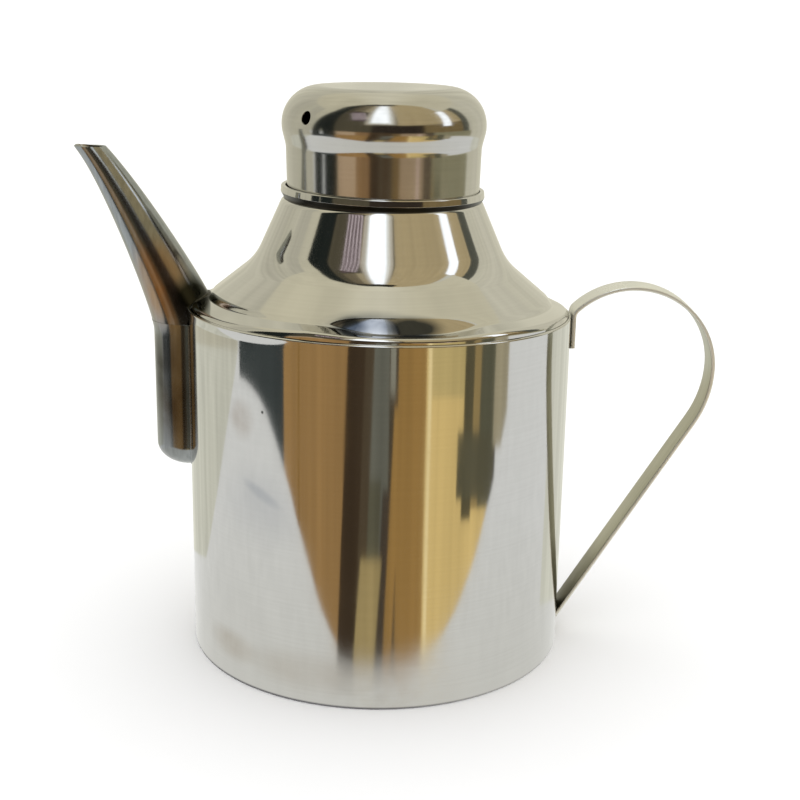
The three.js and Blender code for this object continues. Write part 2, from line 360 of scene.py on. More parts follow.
def worn_foot(material, height, extra):
    """Roughens a steel below a height in millimetres, most at its foot."""
    tree = material.node_tree
    rough = tree.nodes["Principled BSDF"].inputs["Roughness"]
    place = node(tree, "TexCoord").outputs["Object"]
    scuffs = noise(tree, place, scuff_size, 6.0)
    level = node(tree, "SeparateXYZ", {0: place}).outputs["Z"]
    low = ranged(tree, level, (height * MM, 0.0), (0.0, 2 * extra))
    uneven = node(tree, "Math", {0: low, 1: scuffs}, operation="MULTIPLY").outputs[0]
    total = node(tree, "Math", {0: rough.links[0].from_socket, 1: uneven}, operation="ADD")
    tree.links.new(total.outputs[0], rough)


def smudge(material, spot, reach, code, weight, turn=(0, 0, 0)):
    """Tints a steel in an oval patch, its half lengths in millimetres, with a ragged edge."""
    tree = material.node_tree
    tone = tree.nodes["Principled BSDF"].inputs["Base Color"]
    place = node(tree, "TexCoord").outputs["Object"]
    ragged = noise(tree, place, RAGGED_SHARE * reach[0], 4.0)
    patch = node(tree, "Mapping", {"Vector": place, "Location": Vector(spot) * MM,
                                   "Rotation": [math.radians(angle) for angle in turn],
                                   "Scale": Vector(reach) * MM}, vector_type="TEXTURE")
    inside = ranged(tree, length(tree, patch.outputs[0]), (1.0, 0.15), (0.0, 2 * weight), "SMOOTHSTEP")
    share = node(tree, "Math", {0: inside, 1: ragged}, operation="MULTIPLY", use_clamp=True)
    mixed = blend(tree, share.outputs[0], tone.links[0].from_socket, linear(code))
    tree.links.new(mixed, tone)


# %% Wear, smudges, painted shadow and painted reflection
MARKS = (
    (buffed_wall, (
        ("greasy streak", (-29.9, -43.7, 56.0), (8.5, 2.4, 2.4), "#858D95", 0.7, (0, 24, -34)),
        ("hand patch", (-30.5, -43.3, 52.0), (17.0, 17.0, 15.0), "#B9B9B8", 0.6),
        ("left stain", (-39.4, -35.5, 10.0), (14.0, 14.0, 6.0), "#ADA496", 0.6),
        ("front stain", (-18.0, -49.5, 9.0), (22.0, 22.0, 8.0), "#B9B4AB", 0.8),
        # A thin violet-dark ring along the very foot of the wall is a painted contact shadow.
        ("dirt line", (-30.0, -40.0, 0.0), (110.0, 110.0, 0.9), "#55535A", 0.9),
        ("rubbed spot", (-35.1, -39.7, 75.0), (6.0, 6.0, 7.0), "#A69C90", 0.45),
        ("pit", (-29.3, -44.2, 78.0), (0.6, 0.6, 0.6), "#34342F", 0.9),
    )),
    (buffed_spun, (
        ("soot by the spout", (-49.5, -8.0, 97.5), (6.5, 7.0, 5.0), "#3E3E38", 1.2),
        # In the dent, these blue-grey and dark patches are painted reflection that deepens the dark oval
        # it mirrors.
        ("haze in the dent", (-3.0, -46.4, 101.5), (16.0, 6.0, 5.5), "#6A7079", 0.9),
        ("dent's right", (9.6, -46.4, 101.0), (12.0, 5.2, 4.5), "#474D56", 1.5),
        ("dent's left", (-7.4, -46.2, 100.8), (5.5, 4.5, 4.2), "#3A4048", 1.2),
    )),
    (buffed_spout, (
        ("pocket's grime", (-57.5, -8.0, 74.0), (13.0, 13.0, 24.0), "#57524A", 0.9),
        ("pocket's smear", (-62.5, -6.0, 79.0), (5.5, 7.0, 13.0), "#3A3830", 0.8),
        ("heat tint", (-60.5, -8.0, 103.5), (11.0, 11.0, 16.0), "#A57C45", 0.75),
        ("root's soot", (-50.5, -6.0, 99.0), (10.0, 12.0, 9.0), "#33342D", 1.3),
    )),
    (strap_painted_shade, (
        ("foot's soot", (57.0, 0.0, 12.0), (16.0, 16.0, 22.0), "#6A6858", 0.8),
    )),
)
scuffed_height = 22.0
worn_foot(buffed_wall, scuffed_height, 0.06)
for material, marks in MARKS:
    for title, *mark in marks:
        smudge(material, *mark)
    print(material.name, "marks:", ", ".join(mark[0] for mark in marks))

# %% [markdown]
# ## Heat-tinted weld
#
# Where the spout was welded on, the heat left a grey-brown oxide that the buffing wheel could
# not reach. It is rough and dark, with paler metal where the wheel touched the tops. A noise
# with clots of about 2 mm gives both its colour and its pits.

# %% Weld material
clot_size = 2.083
pit_depth = 0.12
weld_tint, tree, place = new_material("stainless_steel_heat_tinted_weld")
shader = tree.nodes["Principled BSDF"]
clots = noise(tree, place, clot_size, 4.0)
burnt = node(tree, "ValToRGB", {"Fac": clots})
for element, position, code in zip(burnt.color_ramp.elements, (0.38, 0.66), ("#22221E", "#4C4A41")):
    element.position = position
    element.color = linear(code)
pits = node(tree, "Bump", {"Height": clots, "Strength": 1.0, "Distance": pit_depth * MM})
feed(shader, {"Base Color": burnt.outputs[0], "Normal": pits.outputs[0], "Metallic": 1.0,
              "Roughness": 0.38})
print(weld_tint.name, "clots of", clot_size, "mm")

# %% [markdown]
# ## Wall and base
#
# The wall is a rolled cylinder of 0.6 mm sheet. Its top edge is rolled in a little over the
# shoulder's rim, which leaves a narrow bright bend above the straight side. Its foot is only
# deburred. The base is a shallow pan whose upturned edge sits inside the foot of the wall.
#
# The seam of wall and shoulder is not quite level: it drops towards the back and a little
# towards the handle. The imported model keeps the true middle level. Here one small function
# leans the rim, and the lean fades out down the wall and up the shoulder. A lattice could do
# it too, but would shear the base as well.

# %% Leaning rim
body_radius = 52.99
body_height = 97.4
shoulder_top = 125.3
lean_start = 60.0
front_rise = 0.4
back_drop = 3.0
handle_drop = 0.7


def share_of(value, low, high):
    """How far a value lies between two limits, from 0 to 1."""
    return min(max((value - low) / (high - low), 0.0), 1.0)


def leaning(x, y, level):
    """A point moved up or down with the leaning rim."""
    up_wall = share_of(level, lean_start, body_height)
    down_shoulder = share_of(level, shoulder_top, body_height)
    drop = back_drop * (y + body_radius) / (2 * body_radius) + handle_drop * x / body_radius
    return x, y, level + min(up_wall, down_shoulder) * (front_rise - drop)


rim_levels = [leaning(0, y, body_height)[2] for y in (-body_radius, body_radius)]
print("rim in front and behind:", [round(level, 2) for level in rim_levels], "mm")

# %% Wall and base
wall_sheet = 0.6
base_sheet = 0.8
base_radius = 52.1
deburred = 0.15
seam_swell = 0.3
swell_height = 2.4
swell_turn = -62.0
swell_reach = 50.0


def leaning_wall(x, y, level):
    """A point of the wall. Left of the front the seam also pushed the top edge out a little."""
    turn = math.degrees(math.atan2(x, -y))
    bump = max(0.0, 1 - ((turn - swell_turn) / swell_reach) ** 2)
    swell = seam_swell * bump * share_of(level, body_height - swell_height, body_height) ** 1.5
    grown = 1 + swell / body_radius
    return leaning(x * grown, y * grown, level)


wall_face = [(body_radius - deburred, 0.0), (body_radius, deburred)]
wall_face += [(body_radius, body_height - drop) for drop in (swell_height, 1.8, 1.3, 0.8)]
wall_face += [(body_radius, body_height - 0.2, 0.4), (body_radius - 0.5, body_height)]
wall = turned_sheet("wall_shell", wall_face, wall_sheet, leaning_wall)
fit_out(wall, "can", "polished_steel", (buffed_wall, mill_inside), "body_wall")

base_face = [(0.0, 0.0), (base_radius, 0.0, 1.4), (base_radius, 5.0)]
base = turned_sheet("base_disc", base_face, base_sheet)
fit_out(base, "can", "satin_steel", (mill_inside, mill_inside), "base_pan")

# %% [markdown]
# ## Shoulder
#
# One pressing makes the whole shoulder. A short upright rim bends into a narrow flare, and
# from there the steel climbs in two cones to the mouth. On this can the rim sits deeper by
# the spout and at the back, and the flare has a dent in front, with a rounded step above it.
# The dent matters to the eye: it mirrors the room a second time, as a dark oval. It could be
# sculpted, but a function that sinks each point by where it lies keeps the rows even.

# %% Dented shoulder
shoulder_shift = 0.13
spout_sink = 2.2
spout_sink_range = (18.0, 40.0)
back_sink = 3.3
back_sink_range = (-40.0, 30.0)
flare_level = 101.3
dent_depth = 1.9
dent_radius = 46.8
dent_inner = 44.3
dent_outer = 53.5
dent_turn = 9.0
dent_turns = (8.0, 30.0)


def leaning_shoulder(x, y, level):
    """A point of the shoulder: sunk by the spout and behind, dented in front, and leaning."""
    radius = math.hypot(x, y)
    aside = share_of(abs(math.degrees(math.atan2(x, -y)) - dent_turn), *dent_turns)
    facing = 1 - aside ** 2 * (3 - 2 * aside)
    dent = min(share_of(radius, dent_inner, dent_radius) ** 2, share_of(radius, dent_outer, dent_radius))
    deeper = max(spout_sink * share_of(-x, *spout_sink_range), back_sink * share_of(y, *back_sink_range))
    sink = deeper * share_of(level, flare_level, body_height + 1.0) + dent_depth * facing * dent
    return leaning(x + shoulder_shift, y, level - sink)


# %% Shoulder
rim_radius = 52.2
rim_level = 99.4
rim_lap = 3.0
knee_radius = 34.66
knee_level = 110.4
cone_slope = 0.781
dent_radii = (47.3, 47.05, dent_radius, 46.55, 46.2, 45.8, 45.4, 44.9, dent_inner)
shoulder_face = [(rim_radius, body_height - rim_lap), (rim_radius, rim_level, 1.4)]
shoulder_face += [(radius, knee_level - cone_slope * (radius - knee_radius)) for radius in dent_radii]
shoulder_face += [(knee_radius, knee_level, 16.0), (27.25, 126.3, 2.5), (26.6, 126.6)]
shoulder = turned_sheet("shoulder_shell", shoulder_face, wall_sheet, leaning_shoulder)
fit_out(shoulder, "can", "polished_steel", (buffed_spun, mill_inside), "shoulder_cone")

# %% [markdown]
# ## Mouth collar
#
# The collar is a short tube with a bead around its lip. The bead stiffens the mouth and hides
# the shoulder's cut edge. It is turned as one closed outline. Its neck, in the groove under
# the bead, takes a near-black steel as painted shade. The ring was welded in a little crooked,
# so each of its points is tilted and moved.

# %% Collar
lip_level = 129.5
collar_depth = 10.0
mouth_radius = 26.45
collar_radius = 26.95
bead_edge = collar_radius + 0.8
bead_foot = lip_level - 1.7
collar_face = [
    (collar_radius, lip_level - collar_depth),
    (collar_radius, lip_level - 3.1),
    (bead_edge, bead_foot, 0.2),
    (bead_edge - 0.15, lip_level, 0.3),
    (mouth_radius, lip_level, 0.2),
    (mouth_radius, lip_level - collar_depth),
]
collar_outline = with_side_rows(rounded(collar_face))
# Rows of the neck in the groove under the bead, which take the painted shade.
neck_rows = [i for i, point in enumerate(collar_outline[:-1])
             if point.x > mouth_radius + 0.1 and collar_outline[i + 1].y < bead_foot]
ring_tilt = 0.02
ring_shift = 0.3


def tilted(x, y, level):
    """A point of the collar, which was welded in a little crooked."""
    return x + ring_shift, y, level - ring_tilt * x


collar = turned("collar_ring", collar_outline, neck_rows, tilted)
fit_out(collar, "can", "polished_steel", (buffed_spun, groove_painted_shade), "mouth_collar")

# %% [markdown]
# ## Lid
#
# The lid is one hollow pressing: a skirt that plugs into the collar, a soft waist, and a
# rounded crown. The small vent hole in its crown is cut with a boolean. A cut leaves odd faces
# around itself, so the smooth normals of the uncut lid are copied back onto the cut one.

# %% Lid
lid_sheet = 0.5
lid_shift = 0.45
lid_face = [
    (25.98, lip_level - collar_depth),
    (26.18, lip_level + 0.5),
    (26.45, 140.7, 8.0),
    (30.3, 155.95, 10.0),
    (0.0, 156.83),
]
lid = turned_sheet("lid_shell", lid_face, lid_sheet, lambda x, y, level: (x + lid_shift, y, level))
uncut = lid.copy()
uncut.data = lid.data.copy()
scene.collection.objects.link(uncut)

# %% Vent hole
vent_turn = math.radians(180 + 43)
vent_level = 149.0
vent_radius = 1.75
drill_ends = (19.0, 35.0)
DRILL_SIDES = 32
out = Vector((math.cos(vent_turn), math.sin(vent_turn), 0))
across = Vector((-out.y, out.x, 0))
up = Vector((0, 0, 1))
drill_turns = [2 * math.pi * j / DRILL_SIDES for j in range(DRILL_SIDES)]
circle = [(across * math.cos(turn) + up * math.sin(turn)) * vent_radius for turn in drill_turns]
drill_rows = [[out * reach + up * vent_level + edge for edge in circle] for reach in drill_ends]
drill = skin("vent_drill", drill_rows, caps=True)
cut = lid.modifiers.new("vent", "BOOLEAN")
cut.object = drill
cut.operation = "DIFFERENCE"
calm = lid.modifiers.new("smooth_normals", "DATA_TRANSFER")
calm.object = uncut
calm.use_loop_data = True
calm.data_types_loops = {"CUSTOM_NORMAL"}
calm.loop_mapping = "POLYINTERP_NEAREST"
cut_lid = bpy.data.meshes.new_from_object(lid.evaluated_get(bpy.context.evaluated_depsgraph_get()))
lid.modifiers.clear()
lid.data = cut_lid
for tool in (drill, uncut):
    bpy.data.objects.remove(tool)
print("lid after the cut:", len(cut_lid.vertices), "points")
fit_out(lid, "lid", "polished_steel", (buffed_lid, mill_inside), "lid_cap")

# %% [markdown]
# ## Spout
#
# The spout is a tapered tube, bent as it leaves the can, and cut to sit on the shoulder's
# edge and on the top of the pocket. Each line along the tube starts where it leaves the can
# and ends at the level mouth, so the cut edges come out clean without a boolean.

# %% Spout spine
spout_root = Vector((-54.29, 0, 92.0))
spout_tip = Vector((-79.1, 0, 139.2))
root_rise = math.radians(78.0)
tip_rise = math.radians(49.1)
root_way = Vector((-math.cos(root_rise), 0, math.sin(root_rise)))
tip_way = Vector((-math.cos(tip_rise), 0, math.sin(tip_rise)))
root_pull = 6.0
tip_pull = 12.4
pulls = (spout_root, spout_root + root_way * root_pull, spout_tip - tip_way * tip_pull, spout_tip)
root_radius = 9.06
tip_radius = 3.3
spout_sheet = 0.6
SPINE_STEPS = 240


def spine_curve(part):
    """Point and direction of the bent spine between its two ends."""
    points = pulls
    while len(points) > 2:
        points = [before.lerp(after, part) for before, after in zip(points, points[1:])]
    return points[0].lerp(points[1], part), (points[1] - points[0]).normalized()


spine_runs = [0.0]
for k in range(SPINE_STEPS):
    step = spine_curve((k + 1) / SPINE_STEPS)[0] - spine_curve(k / SPINE_STEPS)[0]
    spine_runs.append(spine_runs[-1] + step.length)
spout_length = spine_runs[-1]
print("spout's spine:", round(spout_length, 2), "mm")


def spine_point(share):
    """Point and direction at a share of the spine's length. It runs on straight past both ends."""
    if share <= 0:
        return spout_root + root_way * (share * spout_length), root_way
    if share >= 1:
        return spout_tip + tip_way * ((share - 1) * spout_length), tip_way
    run = share * spout_length
    k = bisect.bisect_right(spine_runs, run) - 1
    part = (run - spine_runs[k]) / (spine_runs[k + 1] - spine_runs[k])
    return spine_curve((k + part) / SPINE_STEPS)


def spout_point(share, angle, sheet=0.0):
    """Point on the spout's outer face, or below it by a thickness."""
    centre, way = spine_point(share)
    radius = root_radius + (tip_radius - root_radius) * share - sheet
    side = way.cross(Vector((0, 1, 0)))
    return centre + (side * math.cos(angle) + Vector((0, 1, 0)) * math.sin(angle)) * radius


# %% Can's outside, for trimming
HALVINGS = 40
wall_over_rim = 0.6
spout_side = [leaning_shoulder(-point.x, 0, point.y) for point in rounded(shoulder_face)[1:]]
can_outline = [Vector((body_radius, 0)), Vector((body_radius, spout_side[0][2] + wall_over_rim))]
can_outline += [Vector((-x, level)) for x, y, level in spout_side]
print("outline that trims the spout:", len(can_outline), "points")


def can_radius(level):
    """Outer radius of the can's body at a height."""
    for before, after in zip(can_outline, can_outline[1:]):
        if before.y <= level <= after.y and after.y > before.y:
            share = (level - before.y) / (after.y - before.y)
            return before.x + (after.x - before.x) * share
    return 0.0


def edge_of(test, angle, inside, outside):
    """Where a test changes between two shares of the spine, by halving."""
    for _ in range(HALVINGS):
        middle = (inside + outside) / 2
        if test(middle, angle):
            inside = middle
        else:
            outside = middle
    return outside


# %% Spout skin
SPOUT_AROUND = 72
SPOUT_STATIONS = 56
SEARCH_STEPS = 120
SEARCH_END = -30
mouth_search = (0.6, 1.3)
joint_level = spout_root.z + 0.1


def cut_away(share, angle):
    """Is this point of the tube cut away at its root?"""
    point = spout_point(share, angle)
    return point.z < joint_level or math.hypot(point.x, point.y) < can_radius(point.z)


def below_mouth(share, angle):
    """Is this point of the tube below its mouth?"""
    return spout_point(share, angle).z < spout_tip.z


columns = []
for j in range(SPOUT_AROUND):
    angle = 2 * math.pi * j / SPOUT_AROUND
    # From the tip downwards, the first point that is cut away. It may lie below the spine's root.
    start = next(k for k in range(SEARCH_STEPS, SEARCH_END, -1) if cut_away(k / SEARCH_STEPS, angle))
    first = edge_of(cut_away, angle, start / SEARCH_STEPS, (start + 1) / SEARCH_STEPS)
    last = edge_of(below_mouth, angle, *mouth_search)
    columns.append((angle, first, last))
shares = [i / SPOUT_STATIONS for i in range(SPOUT_STATIONS + 1)]
outer_rows = [[spout_point(a + (b - a) * s, t) for t, a, b in columns] for s in shares]
inner_side = [[spout_point(a + (b - a) * s, t, spout_sheet) for t, a, b in columns] for s in shares]
spout_rows = outer_rows + inner_side[::-1]
inside_range = range(len(outer_rows), len(spout_rows) - 1)
spout = skin("spout_pipe", spout_rows, wrap_rows=True, inner_rows=inside_range)
fit_out(spout, "can", "polished_steel", (buffed_spout, mill_inside), "spout_tube")
spout_foot = outer_rows[0]

# %% [markdown]
# ## Pocket under the spout
#
# A half-round channel with a domed foot stands against the wall and feeds the spout. Each of
# its levels is an arc that stops where it meets the wall. Near its top the channel deepens a
# little, because the leaning tube that stands on it has an oval foot.

# %% Pocket
pocket_axis = 53.75
pocket_radius = 9.2
pocket_foot = 50.1
pocket_dome = 6.6
pocket_top = joint_level
top_swell = 0.065
swell_depth = 3.75
least_radius = 0.02
widest_arc = math.radians(176)
POCKET_AROUND = 48
pocket_rows = []
pocket_line = []
dome_turns = [math.radians(90 - 5 * k) for k in range(18)] + [math.radians(2.0)]
levels = [(1.0, pocket_top - 0.5 * k) for k in range(9)]
levels += [(1.0, pocket_foot + pocket_dome + SIDE_ROW)]
levels += [(math.sin(t), pocket_foot + pocket_dome * (1 - math.cos(t))) for t in dome_turns]
for size, level in levels:
    radius = pocket_radius * size
    cosine = (body_radius ** 2 - pocket_axis ** 2 - radius ** 2) / (2 * pocket_axis * radius)
    reach = min(math.acos(max(cosine, -1.0)), widest_arc)
    row = []
    swell = 1 + top_swell * share_of(level, pocket_top - swell_depth, pocket_top) ** 2
    for depth, way in ((0.0, 1), (spout_sheet, -1)):
        thin = max(radius - depth, least_radius)
        lift = depth * (1 - size)
        for j in range(POCKET_AROUND + 1):
            angle = way * reach * (2 * j / POCKET_AROUND - 1)
            out = thin * math.cos(angle)
            out = max(out, out * swell)
            row.append((-pocket_axis - out, thin * math.sin(angle), level + lift))
    pocket_rows.append(row)
    pocket_line.append((row[0], row[POCKET_AROUND]))
pocket = skin("pocket_shell", pocket_rows, caps=True)
fit_out(pocket, "can", "polished_steel", (buffed_spout,), "spout_pocket")

# %% [markdown]
# ## Handle strap
#
# The handle is one flat strap, 9 mm wide. From its tab on the wall it bends out, runs round a
# loop, straightens, and ends with its foot on the wall near the base. Its rounded edges catch
# a thin bright line, so its section is a rectangle with small corner roundings. A curve with a
# bevel would be quicker, but it could not follow the wall's curve at the foot.

# %% Strap path
strap_width = 9.0
strap_half = 0.55
strap_edge = 0.35
wall_gap = body_radius + 0.3
tab_middle = wall_gap + strap_half
loop_radius = 22.9
handle_reach = 40.5
loop_drop = 17.2
loop_x = body_radius + handle_reach - loop_radius
loop_z = body_height - loop_drop
tab_bend = 3.0
tab_length = 8.6
wide_bend = 30.0
foot_level = 6.0
bend_x = tab_middle + tab_bend
bend_z = loop_z + math.sqrt((loop_radius - tab_bend) ** 2 - (loop_x - bend_x) ** 2)
bend_end = math.atan2(bend_z - loop_z, bend_x - loop_x)
wide_x = loop_x + loop_radius - wide_bend
to_foot = Vector((wall_gap - wide_x, foot_level - loop_z))
wide_end = math.atan2(to_foot.y, to_foot.x) + math.acos(wide_bend / to_foot.length)
ARC_STEP = math.radians(4)
TAB_STEPS = 4
RUN_STEPS = 12
stations = []
for k in range(TAB_STEPS + 1):
    drop = tab_length * (1 - k / TAB_STEPS)
    stations.append((Vector((tab_middle, 0, bend_z - drop)), Vector((-1, 0, 0))))
arcs = (
    (bend_x, bend_z, tab_bend, math.pi, bend_end),
    (loop_x, loop_z, loop_radius, bend_end, 0.0),
    (wide_x, loop_z, wide_bend, 0.0, wide_end),
)
for centre_x, centre_z, radius, begin, end in arcs:
    steps = math.ceil(abs(end - begin) / ARC_STEP)
    for k in range(1, steps + 1):
        angle = begin + (end - begin) * k / steps
        away = Vector((math.cos(angle), 0, math.sin(angle)))
        stations.append((Vector((centre_x, 0, centre_z)) + away * radius, away))
run_start, run_away = stations[-1]
run_way = Vector((run_away.z, 0, -run_away.x))
run_length = (run_start.x - wall_gap) / -run_way.x
for k in range(1, RUN_STEPS + 1):
    stations.append((run_start + run_way * (run_length * k / RUN_STEPS), run_away))
print("strap stations:", len(stations))

# %% Strap skin
CORNER_STEPS = 4
foot_gap = 0.05
section = []
for side, face, turn in ((1, 1, 0), (-1, 1, 90), (-1, -1, 180), (1, -1, 270)):
    for k in range(CORNER_STEPS + 1):
        angle = math.radians(turn + 90 * k / CORNER_STEPS)
        across = side * (strap_width / 2 - strap_edge) + strap_edge * math.cos(angle)
        away = face * (strap_half - strap_edge) + strap_edge * math.sin(angle)
        section.append((across, away))
strap_rows = []
for number, (middle, away) in enumerate(stations):
    row = []
    for across, out in section:
        point = middle + away * out + Vector((0, across, 0))
        # The last section slides along the strap until it lies on the round wall.
        if number == len(stations) - 1:
            slide = (point.x - math.sqrt((body_radius + foot_gap) ** 2 - across ** 2)) / -run_way.x
            point = point + run_way * slide
        row.append(point)
    strap_rows.append(row)
strap = skin("strap_bar", strap_rows, caps=True)
# The inner face, which faces the wall, takes the greyer steel of painted shade.
inner_columns = [j for j in range(len(section)) if max(section[j][1], section[j - 1][1]) < -strap_edge]
for face in strap.data.polygons:
    column = (face.index + 1) % len(section)
    if face.index < (len(stations) - 1) * len(section) and column in inner_columns:
        face.material_index = 1
fit_out(strap, "can", "satin_steel", (brushed_strap, strap_painted_shade), "handle_strap")

# %% [markdown]
# ## Welds
#
# Each joint carries a small bead of weld metal. A bead is a thin lumpy tube along the line
# where two pieces meet, sunk half into both. The lumps come from two sines of the distance
# along it, so they are the same on every run.

# %% Weld beads
BEAD_SIDES = 10
LUMP_TURNS = (2.1, 0.83)
OFF_LINE = Vector((0.31, 0.52, 0.8))


def bead(name, line, radius, lump):
    """A lumpy tube along a line of points, in millimetres. It thins out at both ends."""
    line = [Vector(point) for point in line]
    rows = []
    run = 0.0
    for i, point in enumerate(line):
        before = line[max(i - 1, 0)]
        after = line[min(i + 1, len(line) - 1)]
        way = (after - before).normalized()
        run += (point - before).length
        side = way.cross(OFF_LINE).normalized()
        up = way.cross(side)
        size = radius * (1 + lump * math.sin(LUMP_TURNS[0] * run) * math.sin(LUMP_TURNS[1] * run + 1.0))
        size *= math.sqrt(math.sin(math.pi * (i + 0.3) / (len(line) - 0.4)))
        turns = [2 * math.pi * j / BEAD_SIDES for j in range(BEAD_SIDES)]
        rows.append([point + (side * math.cos(turn) + up * math.sin(turn)) * size for turn in turns])
    return skin(name, rows, caps=True)


root_line = [point for point in spout_foot if point.z > joint_level + 0.3]
seam_line = [left for left, right in pocket_line] + [right for left, right in pocket_line[::-1]]
strap_steps = [y / 2 for y in range(-8, 9)]
foot_line = [(wall_gap - 0.15, y, foot_level + 0.75) for y in strap_steps]
tab_line = [(wall_gap + 0.1, y, bend_z - tab_length) for y in strap_steps]
BEADS = (
    ("spout_root_weld", root_line, 0.55, 0.2, "polished_steel", weld_tint),
    ("pocket_seam_weld", seam_line, 0.4, 0.15, "polished_steel", buffed_spout),
    ("strap_foot_weld", foot_line, 0.55, 0.3, "satin_steel", weld_tint),
    ("strap_tab_weld", tab_line, 0.5, 0.5, "satin_steel", brushed_strap),
)
for name, line, radius, lump, slot, material in BEADS:
    fit_out(bead(name, line, radius, lump), "can", slot, (material,))

# %% [markdown]
# ## Camera
#
# The photograph looks slightly down at the can from about 0.38 m, with a moderate lens and a
# hint of tilt. The camera turns a little to the right to leave the can left of the middle,
# which needs no lens shift.

# %% Camera
FOCAL_PIXELS = 1395.4
FRAME_PIXELS = 800
AXIS_OFFSET_PIXELS = 21.56
SENSOR = 36.0
look_down = 15.984
tilt = 1.037
camera_data = bpy.data.cameras.new("camera")
camera = bpy.data.objects.new("camera", camera_data)
scene.collection.objects.link(camera)
scene.camera = camera
camera_data.sensor_width = SENSOR
camera_data.lens = SENSOR * FOCAL_PIXELS / FRAME_PIXELS
camera_data.clip_start = 0.01
camera.location = (0.00014, -0.38137, 0.17836)
pitch = math.radians(90 - look_down)
roll = math.radians(tilt)
yaw = -math.atan(AXIS_OFFSET_PIXELS / FOCAL_PIXELS)
aim = Matrix.Rotation(yaw, 4, "Z") @ Matrix.Rotation(pitch, 4, "X") @ Matrix.Rotation(roll, 4, "Z")
camera.rotation_euler = aim.to_euler()
print("lens", round(camera_data.lens, 2), "mm")

# %% [markdown]
# ## Floor
#
# The can stands on a plain pale floor of matt paper, which shows only a faint shadow at the
# foot of the wall. Reflections do not see this floor: they get a ground of their own below.

# %% Floor
FLOOR_SIZE = 6.0
FLOOR_GAP = 1e-4


def stage_piece(name, points, faces, material):
    """A mesh of the stage, its points in metres. It is no part of the can."""
    mesh = bpy.data.meshes.new(name)
    mesh.from_pydata(points, [], faces)
    mesh.materials.append(material)
    made = bpy.data.objects.new(name, mesh)
    scene.collection.objects.link(made)
    return made


def board(name, size, level, material):
    """A square and level board."""
    half = size / 2
    corners = [(-half, -half, level), (half, -half, level), (half, half, level), (-half, half, level)]
    return stage_piece(name, corners, [(0, 1, 2, 3)], material)


pale_paper = bpy.data.materials.new("pale_matt_paper")
pale_paper.use_nodes = True
feed(pale_paper.node_tree.nodes["Principled BSDF"], {"Base Color": linear("#F4F4F4"), "Roughness": 0.9})
floor = board("floor", FLOOR_SIZE, -FLOOR_GAP, pale_paper)
floor.visible_glossy = False
print("floor:", FLOOR_SIZE, "m of", pale_paper.name)

# %% [markdown]
# ## Light
#
# Even white light from all around is soft enough for that faint shadow. Steel would mirror it
# as plain white, though, so reflections see another dome: beige walls, a warm ceiling, and
# faint clouds that keep large areas from looking flat. The steel swallows a share of what it
# mirrors, so the dome is brighter by that much.

# %% Light
STEEL_MIRRORS = 0.6
LIGHT_STRENGTH = 1.3
# Clouds of 200 mm on a dome of one metre.
cloud_size = 200.0
world = bpy.data.worlds.new("soft_light")
scene.world = world
world.use_nodes = True
world.cycles.sampling_method = "NONE"
tree = world.node_tree
sight = node(tree, "TexCoord").outputs["Generated"]
way = node(tree, "SeparateXYZ", {0: sight})
to_right = ranged(tree, way.outputs["X"], (-0.5, 0.5))
walls = blend(tree, to_right, linear("#ABA898"), linear("#B9B6A6"))
sideways = node(tree, "Math", {0: way.outputs["X"]}, operation="ABSOLUTE").outputs[0]
overhead = ranged(tree, sideways, (0.3, 0.0), kind="SMOOTHSTEP")
ceiling = blend(tree, overhead, linear("#B9B49F"), linear("#C6C2B0"))
room = blend(tree, ranged(tree, way.outputs["Z"], (0.2, 0.8)), walls, ceiling)
clouds = noise(tree, sight, cloud_size, 3.0)
cloudy = ranged(tree, clouds, (0.3, 0.7), (0.93 / STEEL_MIRRORS, 1.06 / STEEL_MIRRORS))
mirrored = node(tree, "Background", {"Color": room, "Strength": cloudy})
light = tree.nodes["Background"]
feed(light, {"Color": linear("#FFFFFF"), "Strength": LIGHT_STRENGTH})
glossy = node(tree, "LightPath").outputs["Is Glossy Ray"]
either = node(tree, "MixShader", {0: glossy, 1: light.outputs[0], 2: mirrored.outputs[0]})
feed(tree.nodes["World Output"], {"Surface": either.outputs[0]})
scene.view_settings.view_transform = "Standard"
print("light:", LIGHT_STRENGTH, "and mirrored dome:", round(1 / STEEL_MIRRORS, 2))

# %% [markdown]
# ## What the steel mirrors
#
# Polished steel has hardly any colour of its own: what the eye reads on it is its
# surroundings. So boards stand around the front, a metre and a half away behind the camera,
# and only reflections can see them. Each board is written as the directions that it covers,
# seen from the can: degrees to the right of straight ahead, and degrees above the can's level.
# Its colour is the one that the steel should show, so the board glows brighter by what the
# steel swallows. The room's pale ground and ceiling cut the boards off along two curves.

# %% Room's edges
ROOM_DISTANCE = 1.5
ROOM_HEIGHT = 0.09
ROOM_SIDE = 88.5
ROOM_BOTTOM = -40.0
ground_ahead = -28.4
left_rise, left_reach = 13.8, 54
right_rise, right_reach = 8.9, 72
ceiling_sides = 44
ceiling_rise = 37
ceiling_reach = (76, 84)


def ground_line(azimuth):
    """Elevation in degrees where the room's boards meet its pale ground."""
    if abs(azimuth) > ROOM_SIDE:
        return ROOM_BOTTOM
    if azimuth < 0:
        return ground_ahead + left_rise * (1 - math.exp(-(-azimuth / left_reach) ** 3))
    return ground_ahead + right_rise * (azimuth / right_reach) ** 3


def ceiling_line(azimuth):
    """Elevation in degrees where the room's boards meet its pale ceiling."""
    reach = ceiling_reach[azimuth > 0]
    return ceiling_sides + ceiling_rise * math.sqrt(max(0, 1 - (abs(azimuth) / reach) ** 4))


print("room straight ahead:", ground_line(0), "to", ceiling_line(0), "degrees")

# %% Glowing boards
# Streaks 90.9 mm wide and many times as tall, like grain and folds seen from afar.
streak_width = 90.9
STREAK_SQUEEZE = 0.06
LAYER_GAP = 0.01
BOARD_STEP = 2


def only_mirrored(made):
    """Lets nothing but reflections see a piece of the stage."""
    made.visible_camera = False
    made.visible_diffuse = False
    made.visible_shadow = False


